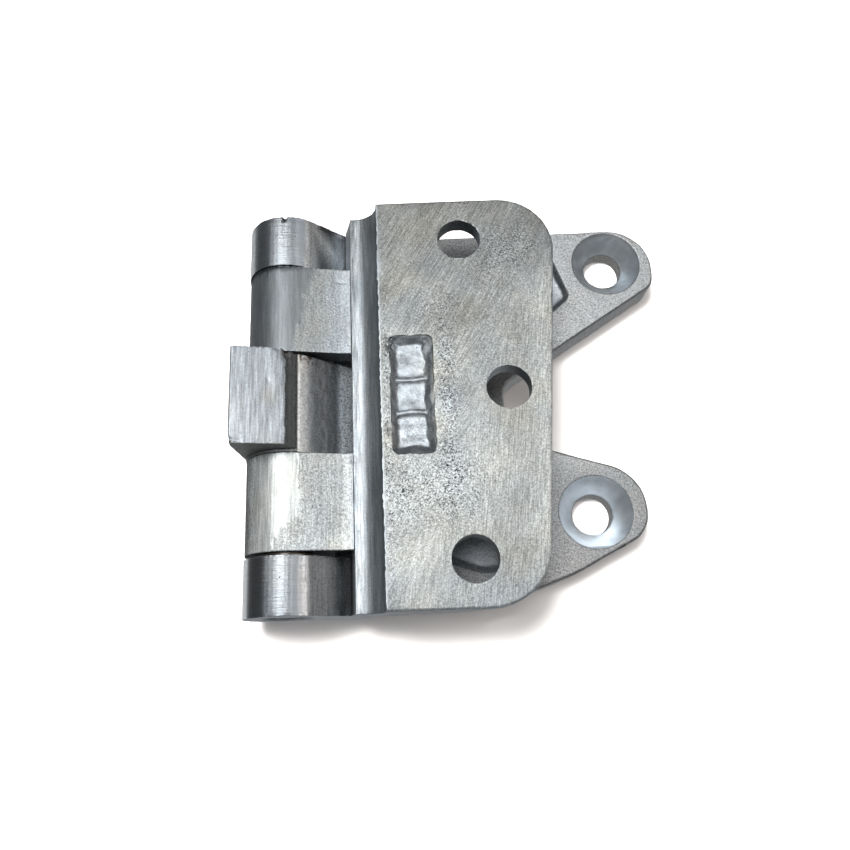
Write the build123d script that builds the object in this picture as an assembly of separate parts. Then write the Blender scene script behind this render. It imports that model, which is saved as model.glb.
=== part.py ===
from build123d import *
import os
from math import acos, asin, atan2, cos, hypot, radians, sin, sqrt, tan

# Heavy cast leaf hinge with five knuckles, lying closed on the back of its frame leaf.
# Millimetres. +Z is up, away from the surface that the frame leaf is screwed to.
# The pin axis runs along Y, and +X points from the pin towards the screw ears.
# The origin is on the frame leaf's flat back, under the pin axis, halfway up the hinge.

# Pin line
PIN_Z = 10.5            # height of the pin axis over the frame leaf's back
PIN_R = 6.0
PIN_CHAMFER = 0.8
PIN_RECESS = 0.5        # how far each staked end of the pin sits below the knuckle's end
BUSH_R = 7.5
RUNNING_CLEARANCE = 0.05
FRAME_KNUCKLE_R = 10.6
DOOR_KNUCKLE_R = 10.4
BORE_CHAMFER = 0.6

# Knuckles along Y, from the upper end of the hinge to the lower end
HALF_HEIGHT = 52.0
FRAME_KNUCKLES = {"upper": (37.5, HALF_HEIGHT), "middle": (-13.0, 12.6), "lower": (-HALF_HEIGHT, -37.9)}
DOOR_KNUCKLES = {"upper": (13.4, 37.35), "lower": (-37.05, -13.1)}

# Frame leaf: a flat fork with two ears, each with a countersunk screw hole
LEAF_T = 8.0
SLOT_R = 11.3           # radius milled round the pin line for the door leaf's knuckles
SHOULDER_ANGLE = 49.3   # where the knuckle's round leaves off and its flat shoulder starts
SCREW_R = 5.25
SCREW_HEAD_R = 9.7
UPPER_SCREW = (88.2, 43.0)
LOWER_SCREW = (78.0, -28.1)
# corners of the fork, each with its radius, clockwise from the upper ear
FORK_CORNERS = [
    (101.2, 53.8, 12.0),
    (101.2, 36.2, 6.0),
    (56.6, 7.4, 6.0),
    (56.6, -7.6, 6.0),
    (91.5, -18.4, 12.0),
    (91.5, -33.6, 8.0),
    (72.0, -43.5, 50.0),
    (50.0, -51.3, 30.0),
]
# shallow hollow in the fork's inner face, which saves metal between the ears
HOLLOW_CORNERS = [
    (77.3, 33.0, 2.2),
    (72.4, 47.0, 3.0),
    (54.0, 41.0, 4.0),
    (34.0, 41.0, 3.0),
    (30.0, -36.0, 3.0),
    (48.0, -42.5, 4.0),
    (61.0, -42.0, 4.0),
    (66.5, -33.0, 2.2),
    (48.5, -12.0, 5.0),
    (48.5, 9.0, 5.0),
]
HOLLOW_DEPTH = 1.5
HOLLOW_WALL_ANGLE = 45.0

# Stop block on the middle knuckle of the frame leaf. The door leaf's rim lands on its
# sloped top when the hinge has opened a little past a right angle.
STOP_HALF_Y = 12.3
STOP_LEFT_X = -11.5
STOP_RIGHT_X = 1.55
STOP_TOP_Z = 25.3       # height of the sloped top over the pin line
STOP_SLOPE = 10.0       # degrees that the top falls towards the screw ears
STOP_HEEL_X = -10.5
STOP_FOOT_X = 3.9
STOP_FOOT_SINK = 1.0    # how far the block's foot sits inside the knuckle's round

# Door leaf: a joggled plate with three bolt holes
PLATE_TOP_Z = 25.0
PLATE_T = 4.5
RIM_X = 17.1            # face of the leaf that clears the knuckles and lands on the stop
RIM_TOP_Z = 18.5
WEB_TOP_Z = 18.2        # height at which the flat off each knuckle's round reaches the rim
WEB_END_X = 14.5
WEB_BOTTOM_Z = 13.0
COVE_R = 6.0
COVE_X = 18.4
WEB_T = 5.5
WEB_ROOT_X = 8.0        # the webs start inside the knuckles and end inside the rim
WEB_OVERLAP = 1.0
FLARE_X = 15.4          # foot of the rim's drafted face beside the outer knuckles
FLARE_Z = 12.2
PLATE_EDGE_X = COVE_X + COVE_R
BOLT_R = 5.5
BOLT_HOLES = [(45.5, 41.0), (55.6, 0.2), (45.0, -41.1)]
PLATE_CORNERS = [(71.0, 52.7, 14.0), (61.3, -52.4, 14.4)]
PLATE_ROOT_X = 10.0
PLATE_ROOT_Y = 52.1
PLATE_REACH_X = 90.0    # the plate's section is drawn this far, then cut to its outline
# recessed panel in the plate's face
PANEL = (26.8, -16.0, 37.6, 14.7)
PANEL_DEPTH = 1.2
PANEL_CORNER_R = 2.0
PANEL_WALL_ANGLE = 48.0

OUTER_EDGE_R = 0.5
CUT_MARGIN = 1.0        # how far a cut runs past the metal on each side
WORK_SPAN = 200.0       # longer than the hinge in every direction


def pin_cylinder(radius, y_low, y_high):
    """A solid cylinder round the pin axis, between two heights along the hinge."""
    plane = Plane(origin=(0, y_low, PIN_Z), x_dir=(1, 0, 0), z_dir=(0, 1, 0))
    return extrude(plane * Circle(radius), amount=y_high - y_low)


def end_chamfer(radius, y_end, outward, depth):
    """A cone that breaks the edge of a bore at one end of a knuckle."""
    plane = Plane(origin=(0, y_end, PIN_Z), x_dir=(1, 0, 0), z_dir=(0, -outward, 0))
    mouth = plane * Circle(radius + depth)
    root = plane.offset(depth) * Circle(radius)
    return loft([mouth, root])


def side_prism(points, y_low, y_high):
    """A prism along Y over a closed outline given as (x, z) points."""
    plane = Plane(origin=(0, y_high, 0), x_dir=(1, 0, 0), z_dir=(0, -1, 0))
    outline = Polyline(*points, close=True)
    return extrude(plane * make_face(outline), amount=y_high - y_low)


def rounded_face(start, corners, end):
    """A flat face bounded by a line through rounded corners and a straight closing line."""
    points = [start] + [(x, y) for x, y, _ in corners] + [end]
    radii = [r for _, _, r in corners]
    path = FilletPolyline(*points, radius=radii)
    return make_face(path + Line(end, start))


def closed_rounded_face(corners):
    """A flat face bounded by a closed run of rounded corners."""
    points = [(x, y) for x, y, _ in corners]
    radii = [r for _, _, r in corners]
    return make_face(FilletPolyline(*points, radius=radii, close=True))


def slab(face, z_low, z_high):
    """A flat plate over a face drawn in the XY plane."""
    return extrude(Pos(0, 0, z_low) * face, amount=z_high - z_low)


def drill(x, y, radius, z_low, z_high):
    """The solid that a round hole along Z takes away."""
    return Pos(x, y, (z_low + z_high) / 2) * Cylinder(radius, z_high - z_low)


def frame_profile():
    """Section of the frame leaf where it has a knuckle, without the round itself."""
    a = radians(SHOULDER_ANGLE)
    x_tangent = FRAME_KNUCKLE_R * cos(a)
    z_tangent = PIN_Z + FRAME_KNUCKLE_R * sin(a)
    x_foot = x_tangent + (z_tangent - LEAF_T) * tan(a)
    return [(0, 0), (x_foot, 0), (x_foot, LEAF_T), (x_tangent, z_tangent), (0, PIN_Z)]


def stop_block():
    """The block on the middle knuckle, whose sloped top stops the door leaf."""
    fall = tan(radians(STOP_SLOPE))
    outline = [
        (STOP_LEFT_X, STOP_TOP_Z - STOP_LEFT_X * fall),
        (STOP_RIGHT_X, STOP_TOP_Z - STOP_RIGHT_X * fall),
        (STOP_FOOT_X, PIN_Z + FRAME_KNUCKLE_R - STOP_FOOT_SINK),
        (0, PIN_Z),
        (STOP_HEEL_X, PIN_Z),
    ]
    block = side_prism(outline, -STOP_HALF_Y, STOP_HALF_Y)
    upright = block.edges().filter_by(Axis.Y).sort_by(Axis.Z)[-2:]
    return fillet(upright, OUTER_EDGE_R)


def screw_cut(x, y):
    """A through hole with a 90 degree countersink, open towards the door leaf."""
    hole = drill(x, y, SCREW_R, -CUT_MARGIN, LEAF_T + CUT_MARGIN)
    sink_depth = SCREW_HEAD_R - SCREW_R
    sink = Pos(x, y, LEAF_T - sink_depth / 2) * Cone(SCREW_R, SCREW_HEAD_R, sink_depth)
    mouth = drill(x, y, SCREW_HEAD_R, LEAF_T, LEAF_T + CUT_MARGIN)
    return hole + sink + mouth


def bevelled_pocket(face, top_z, depth, wall_angle):
    """The solid that a shallow recess with sloping walls takes away."""
    return extrude(Pos(0, 0, top_z) * face, amount=-depth, taper=wall_angle)


def fork_plate():
    """The flat fork of the frame leaf, with its hollow and its two screw holes."""
    outline = rounded_face((0, HALF_HEIGHT), FORK_CORNERS, (0, -HALF_HEIGHT))
    fork = slab(outline, 0, LEAF_T)
    rim = [e for e in fork.edges().group_by(Axis.Z)[-1] if e.center().X > OUTER_EDGE_R]
    fork = fillet(rim, OUTER_EDGE_R)
    hollow = closed_rounded_face(HOLLOW_CORNERS)
    fork -= bevelled_pocket(hollow, LEAF_T, HOLLOW_DEPTH, HOLLOW_WALL_ANGLE)
    for x, y in (UPPER_SCREW, LOWER_SCREW):
        fork -= screw_cut(x, y)
    return fork


def door_knuckle_slot(y_low, y_high):
    """The space that a door leaf's knuckle turns in."""
    middle_y = (y_low + y_high) / 2
    below = Pos(SLOT_R / 2, middle_y, LEAF_T / 2) * Box(SLOT_R, y_high - y_low, LEAF_T + CUT_MARGIN)
    return pin_cylinder(SLOT_R, y_low, y_high) + below


def frame_leaf():
    """Fork with three knuckles, two ears and the stop block, cast in one piece."""
    leaf = fork_plate()
    upper, middle, lower = (FRAME_KNUCKLES[k] for k in ("upper", "middle", "lower"))
    leaf -= door_knuckle_slot(middle[1], upper[0])
    leaf -= door_knuckle_slot(lower[1], middle[0])
    for y_low, y_high in (upper, middle, lower):
        leaf += pin_cylinder(FRAME_KNUCKLE_R, y_low, y_high)
        leaf += side_prism(frame_profile(), y_low, y_high)
    leaf += stop_block()
    leaf -= pin_cylinder(PIN_R, -HALF_HEIGHT - CUT_MARGIN, HALF_HEIGHT + CUT_MARGIN)
    for end in (-1, 1):
        leaf -= end_chamfer(PIN_R, end * HALF_HEIGHT, end, BORE_CHAMFER)
    behind = Pos(0, 0, -WORK_SPAN / 2) * Box(WORK_SPAN * 2, WORK_SPAN * 2, WORK_SPAN)
    return leaf - behind


def door_section():
    """Section of the door leaf from its rim, through the cove, to the plate."""
    cove_z = RIM_TOP_Z + COVE_R
    under_r = COVE_R + WEB_T
    plate_bottom = PLATE_TOP_Z - PLATE_T
    x_under = COVE_X + sqrt(under_r ** 2 - (cove_z - plate_bottom) ** 2)
    half_cove = radians(45)
    cove_low = (COVE_X, RIM_TOP_Z)
    cove_mid = (COVE_X + COVE_R * sin(half_cove), cove_z - COVE_R * cos(half_cove))
    cove_high = (PLATE_EDGE_X, cove_z)
    half_under = asin((x_under - COVE_X) / under_r) / 2
    under_low = (COVE_X, WEB_BOTTOM_Z)
    under_mid = (COVE_X + under_r * sin(half_under), cove_z - under_r * cos(half_under))
    under_high = (x_under, plate_bottom)
    outline = (
        Line((RIM_X, WEB_BOTTOM_Z), (RIM_X, RIM_TOP_Z))
        + Line((RIM_X, RIM_TOP_Z), cove_low)
        + ThreePointArc(cove_low, cove_mid, cove_high)
        + Line(cove_high, (PLATE_EDGE_X, PLATE_TOP_Z))
        + Line((PLATE_EDGE_X, PLATE_TOP_Z), (PLATE_REACH_X, PLATE_TOP_Z))
        + Line((PLATE_REACH_X, PLATE_TOP_Z), (PLATE_REACH_X, plate_bottom))
        + Line((PLATE_REACH_X, plate_bottom), under_high)
        + ThreePointArc(under_high, under_mid, under_low)
        + Line(under_low, (RIM_X, WEB_BOTTOM_Z))
    )
    plane = Plane(origin=(0, WORK_SPAN / 2, 0), x_dir=(1, 0, 0), z_dir=(0, -1, 0))
    return extrude(plane * make_face(outline), amount=WORK_SPAN)


def web_tangent():
    """Point where the web's sloping flat leaves the round of a door leaf's knuckle."""
    rise = WEB_TOP_Z - PIN_Z
    lean = atan2(WEB_END_X, rise) - acos(DOOR_KNUCKLE_R / hypot(WEB_END_X, rise))
    return DOOR_KNUCKLE_R * sin(lean), PIN_Z + DOOR_KNUCKLE_R * cos(lean)


def door_knuckle(y_low, y_high):
    """One knuckle of the door leaf with the web that joins it to the rim."""
    round_part = pin_cylinder(DOOR_KNUCKLE_R, y_low, y_high)
    web = [
        (0, PIN_Z),
        web_tangent(),
        (WEB_END_X, WEB_TOP_Z),
        (RIM_X + WEB_OVERLAP, WEB_TOP_Z),
        (RIM_X + WEB_OVERLAP, WEB_BOTTOM_Z),
        (WEB_ROOT_X, WEB_BOTTOM_Z),
    ]
    return round_part + side_prism(web, y_low, y_high)


def rim_flare(y_low, y_high):
    """Draft on the rim's face where it passes an outer knuckle of the frame leaf."""
    flare = [
        (RIM_X, RIM_TOP_Z - OUTER_EDGE_R),
        (COVE_X, RIM_TOP_Z - OUTER_EDGE_R),
        (COVE_X, WEB_BOTTOM_Z),
        (FLARE_X, FLARE_Z),
    ]
    return side_prism(flare, y_low, y_high)


def door_leaf():
    """Joggled plate with two knuckles, cast in one piece."""
    start = (PLATE_ROOT_X, PLATE_ROOT_Y)
    end = (PLATE_ROOT_X, -PLATE_ROOT_Y)
    leaf = door_section() & slab(rounded_face(start, PLATE_CORNERS, end), 0, WORK_SPAN)
    top_rim = [
        e for e in leaf.edges().group_by(Axis.Z)[-1] if e.center().X > PLATE_EDGE_X + OUTER_EDGE_R
    ]
    leaf = fillet(top_rim, OUTER_EDGE_R)
    x0, y0, x1, y1 = PANEL
    r = PANEL_CORNER_R
    panel = closed_rounded_face([(x0, y0, r), (x1, y0, r), (x1, y1, r), (x0, y1, r)])
    leaf -= bevelled_pocket(panel, PLATE_TOP_Z, PANEL_DEPTH, PANEL_WALL_ANGLE)
    for x, y in BOLT_HOLES:
        leaf -= drill(x, y, BOLT_R, 0, WORK_SPAN)
    for y_low, y_high in DOOR_KNUCKLES.values():
        leaf += door_knuckle(y_low, y_high)
    leaf += rim_flare(DOOR_KNUCKLES["upper"][1], HALF_HEIGHT)
    leaf += rim_flare(-HALF_HEIGHT, DOOR_KNUCKLES["lower"][0])
    return leaf - pin_cylinder(BUSH_R, -HALF_HEIGHT, HALF_HEIGHT)


def door_bush(y_low, y_high):
    """Plain bronze bush, pressed into a knuckle of the door leaf."""
    bore = PIN_R + RUNNING_CLEARANCE
    hole = pin_cylinder(bore, y_low - CUT_MARGIN, y_high + CUT_MARGIN)
    return pin_cylinder(BUSH_R, y_low, y_high) - hole


def hinge_pin():
    """Plain pin, held in the frame leaf's knuckles by staked ends."""
    end_y = HALF_HEIGHT - PIN_RECESS
    pin = pin_cylinder(PIN_R, -end_y, end_y)
    return chamfer(pin.edges(), PIN_CHAMFER)


def build_parts():
    """Every separate piece of the hinge, by node name."""
    return {
        "frame_leaf": frame_leaf(),
        "door_leaf": door_leaf(),
        "hinge_pin": hinge_pin(),
        "upper_bush": door_bush(*DOOR_KNUCKLES["upper"]),
        "lower_bush": door_bush(*DOOR_KNUCKLES["lower"]),
    }


os.makedirs("parts", exist_ok=True)
for node, shape in build_parts().items():
    export_step(shape, f"parts/{node}.step")
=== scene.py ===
import math

import bmesh
import bpy
import numpy as np
from mathutils import Matrix, Vector


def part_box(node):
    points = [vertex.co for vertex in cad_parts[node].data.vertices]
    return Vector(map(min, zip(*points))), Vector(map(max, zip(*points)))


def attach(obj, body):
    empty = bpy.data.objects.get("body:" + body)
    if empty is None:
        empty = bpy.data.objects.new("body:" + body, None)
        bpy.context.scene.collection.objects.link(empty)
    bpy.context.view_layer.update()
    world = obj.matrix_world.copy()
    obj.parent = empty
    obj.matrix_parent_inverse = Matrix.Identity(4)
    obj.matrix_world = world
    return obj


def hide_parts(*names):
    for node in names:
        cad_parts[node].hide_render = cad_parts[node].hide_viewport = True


# Lengths in the sculpting and painting functions are millimetres in the CAD frame:
# Z up from the frame leaf's back, the pin along Y, X from the pin to the screw ears.
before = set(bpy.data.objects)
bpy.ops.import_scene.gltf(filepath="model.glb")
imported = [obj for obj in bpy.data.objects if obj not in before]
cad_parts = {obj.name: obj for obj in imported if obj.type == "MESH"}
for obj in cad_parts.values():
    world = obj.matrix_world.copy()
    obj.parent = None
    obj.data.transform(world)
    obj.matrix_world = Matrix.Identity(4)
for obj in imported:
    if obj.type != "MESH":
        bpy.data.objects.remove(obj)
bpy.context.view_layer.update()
MM = 0.001
PIN_Z = 10.5

VOXEL = 0.25             # mesh size of the refined copies
SMOOTHING = 0.3          # how far their points move towards their neighbours' mean
SPREAD_ROUNDS = 5        # how far softening reaches past its mask
SOFT_ROUNDS = 14
SOFT_STEP = 0.7
MAX_TRIANGLES = 190000
SHARP_ANGLE = 34.0
EDGE_TURN = (0.25, 1.6)  # the curvatures between which an edge or a groove sets in
# the curvatures between which painted shade in concave corners sets in
CREASE_SHADE_TURN = (-0.12, -0.9)


# ---------------------------------------------------------------- numbers on points

def ramp(v, low, high):
    """Smooth step from 0 at low to 1 at high; low may be the larger one."""
    t = np.clip((v - low) / (high - low), 0.0, 1.0)
    return t * t * (3.0 - 2.0 * t)


def band(v, low, high, soft):
    """1 between low and high, fading over soft on both sides."""
    return ramp(v, low - soft, low + soft) * ramp(v, high + soft, high - soft)


def mixed(base, amount, other):
    """base where amount is 0 and other where it is 1."""
    return base * (1 - amount) + amount * other


def bump_at(v, centre, half_width):
    """A rounded ridge of height 1 across v."""
    return np.exp(-(((v - centre) / half_width) ** 2))


def spot(p, centre, radii):
    """A soft round patch, 1 at its centre."""
    q = (p - np.array(centre)) / np.array(radii)
    return np.exp(-(q ** 2).sum(1))


def ridge(p, ends, half_width):
    """A soft ridge along a line between two (x, y) points, seen from above."""
    a, b = (np.array(e, float) for e in ends)
    d = b - a
    t = np.clip(((p[:, :2] - a) @ d) / (d @ d), 0.0, 1.0)
    off = p[:, :2] - a - t[:, None] * d
    return np.exp(-(off ** 2).sum(1) / half_width ** 2)


def waves(p, size, seed, count=28):
    """Smooth noise of about -1 to 1, from seeded plane waves. size is one length or three."""
    rng = np.random.default_rng(seed)
    way = rng.normal(size=(count, 3))
    way /= np.linalg.norm(way, axis=1)[:, None]
    speed = 2 * math.pi * rng.uniform(0.6, 1.5, count)
    phase = rng.uniform(0, 2 * math.pi, count)
    q = p / np.broadcast_to(np.array(size, float), 3)
    total = np.zeros(len(p))
    for w, s, f in zip(way, speed, phase):
        total += np.cos((q @ w) * s + f)
    return total / math.sqrt(count)


# ---------------------------------------------------------------- meshes

def points_of(mesh):
    co = np.empty(len(mesh.vertices) * 3, np.float32)
    mesh.vertices.foreach_get("co", co)
    return co.reshape(-1, 3).astype(float) / MM


def set_points(mesh, p):
    mesh.vertices.foreach_set("co", (p * MM).astype(np.float32).ravel())
    mesh.update()


def normals_of(mesh):
    no = np.empty(len(mesh.vertices) * 3, np.float32)
    mesh.vertex_normals.foreach_get("vector", no)
    return no.reshape(-1, 3).astype(float)


def edges_of(mesh):
    ends = np.empty(len(mesh.edges) * 2, np.int32)
    mesh.edges.foreach_get("vertices", ends)
    return ends.reshape(-1, 2)


def summed(ends, side, weights, size):
    """Sum of the weights of the edges at each point, on one side of them."""
    if weights.ndim == 1:
        return np.bincount(ends[:, side], weights, size)
    return np.stack([np.bincount(ends[:, side], w, size) for w in weights.T], 1)


def neighbour_mean(values, ends):
    """Mean of each point's neighbours along the edges."""
    size = len(values)
    total = summed(ends, 0, values[ends[:, 1]], size) + summed(ends, 1, values[ends[:, 0]], size)
    count = np.maximum(np.bincount(ends.ravel(), minlength=size), 1)
    return total / (count[:, None] if values.ndim > 1 else count)


def curvature(mesh):
    """How sharply the surface turns at each point: above 0 on outer edges, below 0 in corners."""
    p, n, ends = points_of(mesh), normals_of(mesh), edges_of(mesh)
    dp = p[ends[:, 1]] - p[ends[:, 0]]
    dn = n[ends[:, 1]] - n[ends[:, 0]]
    turn = (dp * dn).sum(1) / np.maximum((dp ** 2).sum(1), 1e-4)
    total = summed(ends, 0, turn, len(p)) + summed(ends, 1, turn, len(p))
    k = total / np.maximum(np.bincount(ends.ravel(), minlength=len(p)), 1)
    return neighbour_mean(neighbour_mean(k, ends), ends)


def softened(p, ends, where):
    """The points, smoothed away where the mask says and about a millimetre around it."""
    for _ in range(SPREAD_ROUNDS):
        where = neighbour_mean(where, ends)
    where = np.clip(4 * where, 0, 1)[:, None]
    for _ in range(SOFT_ROUNDS):
        p = p + SOFT_STEP * where * (neighbour_mean(p, ends) - p)
    return p


def evaluated_mesh(obj):
    """The object's mesh with its modifiers applied, as a new mesh."""
    bpy.context.view_layer.update()
    graph = bpy.context.evaluated_depsgraph_get()
    return bpy.data.meshes.new_from_object(obj.evaluated_get(graph), depsgraph=graph)


def with_modifier(obj, kind, **settings):
    """Applies one modifier to the object's mesh."""
    modifier = obj.modifiers.new(kind.lower(), kind)
    for key, value in settings.items():
        setattr(modifier, key, value)
    mesh = evaluated_mesh(obj)
    obj.modifiers.clear()
    old, obj.data = obj.data, mesh
    bpy.data.meshes.remove(old)


def refined_copy(node, name, sculpt, paint, soft=None):
    """A fine, evenly meshed copy of a CAD node, sculpted and painted, that stands for the node."""
    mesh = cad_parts[node].data.copy()
    bm = bmesh.new()
    bm.from_mesh(mesh)
    bmesh.ops.remove_doubles(bm, verts=bm.verts, dist=1e-6)
    bm.to_mesh(mesh)
    bm.free()
    obj = bpy.data.objects.new(name, mesh)
    bpy.context.scene.collection.objects.link(obj)
    exact = bpy.data.objects.new(name + "_exact", mesh.copy())
    bpy.context.scene.collection.objects.link(exact)
    with_modifier(obj, "REMESH", mode="VOXEL", voxel_size=VOXEL * MM)
    with_modifier(obj, "SHRINKWRAP", target=exact, wrap_method="NEAREST_SURFACEPOINT")
    bpy.data.objects.remove(exact)
    p, ends = points_of(obj.data), edges_of(obj.data)
    p = (1 - SMOOTHING) * p + SMOOTHING * neighbour_mean(p, ends)
    if soft:
        p = softened(p, ends, soft(p, normals_of(obj.data)))
    set_points(obj.data, p)
    p = sculpt(p, normals_of(obj.data))
    low, high = (np.array(c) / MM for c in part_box(node))
    set_points(obj.data, np.clip(p, low, high))
    triangles = 2 * len(obj.data.polygons)
    if triangles > MAX_TRIANGLES:
        with_modifier(obj, "DECIMATE", ratio=MAX_TRIANGLES / triangles)
    mesh = obj.data
    mesh.polygons.foreach_set("use_smooth", [True] * len(mesh.polygons))
    mesh.set_sharp_from_angle(angle=math.radians(SHARP_ANGLE))
    k = curvature(mesh)
    layers = paint(points_of(mesh), normals_of(mesh))
    layers["edge"] = ramp(k, *EDGE_TURN)
    layers["crease_shade"] = ramp(k, *CREASE_SHADE_TURN)
    for key, values in layers.items():
        values = np.broadcast_to(values, len(mesh.vertices)).astype(np.float32)
        mesh.attributes.new(key, "FLOAT", "POINT").data.foreach_set("value", values)
    mesh.materials.clear()
    return obj


# ---------------------------------------------------------------- node materials

class Metal:
    """Builds one procedural metal. Its methods return sockets, and finish the material."""

    def __init__(self, name):
        self.material = bpy.data.materials.new(name)
        self.material.use_nodes = True
        self.tree = self.material.node_tree
        self.shader = self.tree.nodes["Principled BSDF"]
        where = self.tree.nodes.new("ShaderNodeTexCoord")
        scale = self.tree.nodes.new("ShaderNodeVectorMath")
        scale.operation = "SCALE"
        scale.inputs["Scale"].default_value = 1 / MM
        self.tree.links.new(where.outputs["Object"], scale.inputs[0])
        self.mm = scale.outputs[0]

    def put(self, socket, value):
        if isinstance(value, bpy.types.NodeSocket):
            self.tree.links.new(value, socket)
        else:
            socket.default_value = value

    def math(self, operation, a, b=0.0, clamp=False):
        node = self.tree.nodes.new("ShaderNodeMath")
        node.operation, node.use_clamp = operation, clamp
        self.put(node.inputs[0], a)
        self.put(node.inputs[1], b)
        return node.outputs[0]

    def mul(self, a, b):
        return self.math("MULTIPLY", a, b)

    def add(self, a, b):
        return self.math("ADD", a, b)

    def rest(self, value):
        """1 minus a socket."""
        return self.math("SUBTRACT", 1.0, value)

    def swing(self, value):
        """A 0 to 1 socket as -0.5 to 0.5."""
        return self.math("SUBTRACT", value, 0.5)

    def layer(self, name):
        """A painted layer of the mesh."""
        node = self.tree.nodes.new("ShaderNodeAttribute")
        node.attribute_name = name
        return node.outputs["Fac"]

    def grid(self, size, turn=0.0, shift=0.0):
        """Coordinates in which a cell has the given size in mm, turned about Z by some degrees."""
        node = self.tree.nodes.new("ShaderNodeMapping")
        node.vector_type = "TEXTURE"
        node.inputs["Location"].default_value = (shift, shift, shift)
        node.inputs["Rotation"].default_value = (0, 0, math.radians(turn))
        node.inputs["Scale"].default_value = size if isinstance(size, tuple) else (size,) * 3
        self.put(node.inputs["Vector"], self.mm)
        return node.outputs[0]

    def noise(self, size, turn=0.0, shift=0.0, detail=3.0, rough=0.55, bend=0.0):
        node = self.tree.nodes.new("ShaderNodeTexNoise")
        node.inputs["Scale"].default_value = 1.0
        node.inputs["Detail"].default_value = detail
        node.inputs["Roughness"].default_value = rough
        node.inputs["Distortion"].default_value = bend
        self.put(node.inputs["Vector"], self.grid(size, turn, shift))
        return node.outputs["Fac"]

    def cells(self, size, shift=0.0):
        node = self.tree.nodes.new("ShaderNodeTexVoronoi")
        node.inputs["Scale"].default_value = 1.0
        self.put(node.inputs["Vector"], self.grid(size, shift=shift))
        return node.outputs["Distance"]

    def span(self, value, low, high, to_low=0.0, to_high=1.0):
        """Maps low..high to to_low..to_high, clamped and smooth."""
        node = self.tree.nodes.new("ShaderNodeMapRange")
        node.interpolation_type = "SMOOTHSTEP"
        limits = {"From Min": low, "From Max": high, "To Min": to_low, "To Max": to_high}
        for key, number in limits.items():
            node.inputs[key].default_value = number
        self.put(node.inputs["Value"], value)
        return node.outputs["Result"]

    def colour(self, amount, a, b):
        """Colour a where amount is 0 and b where it is 1."""
        node = self.tree.nodes.new("ShaderNodeMix")
        node.data_type = "RGBA"
        self.put(node.inputs["Factor"], amount)
        for key, value in ((6, a), (7, b)):
            self.put(node.inputs[key], (*value, 1.0) if isinstance(value, tuple) else value)
        return node.outputs[2]

    def times(self, colour, factor):
        """A colour multiplied by a number socket."""
        node = self.tree.nodes.new("ShaderNodeVectorMath")
        node.operation = "SCALE"
        self.put(node.inputs[0], colour)
        self.put(node.inputs["Scale"], factor)
        return node.outputs[0]

    def place(self):
        """The x, y and z coordinates in mm."""
        node = self.tree.nodes.new("ShaderNodeSeparateXYZ")
        self.put(node.inputs[0], self.mm)
        return node.outputs[0], node.outputs[1], node.outputs[2]

    def relief(self, height, depth, under=None):
        """Bump from a height socket of about 0..1 that stands depth mm high."""
        node = self.tree.nodes.new("ShaderNodeBump")
        node.inputs["Distance"].default_value = depth * MM
        self.put(node.inputs["Height"], height)
        if under is not None:
            self.put(node.inputs["Normal"], under)
        return node.outputs["Normal"]

    def finish(self, colour, roughness, normal, metallic):
        self.put(self.shader.inputs["Base Color"], colour)
        self.put(self.shader.inputs["Roughness"], roughness)
        self.put(self.shader.inputs["Normal"], normal)
        self.shader.inputs["Metallic"].default_value = metallic
        return self.material


PLATED = 0.92            # how metallic zinc plate and bare metal look
BARE = 1.0
SCRATCH_GRID = (6.5, 0.32, 6.5)
RUST = (0.12, 0.075, 0.05)


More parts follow.
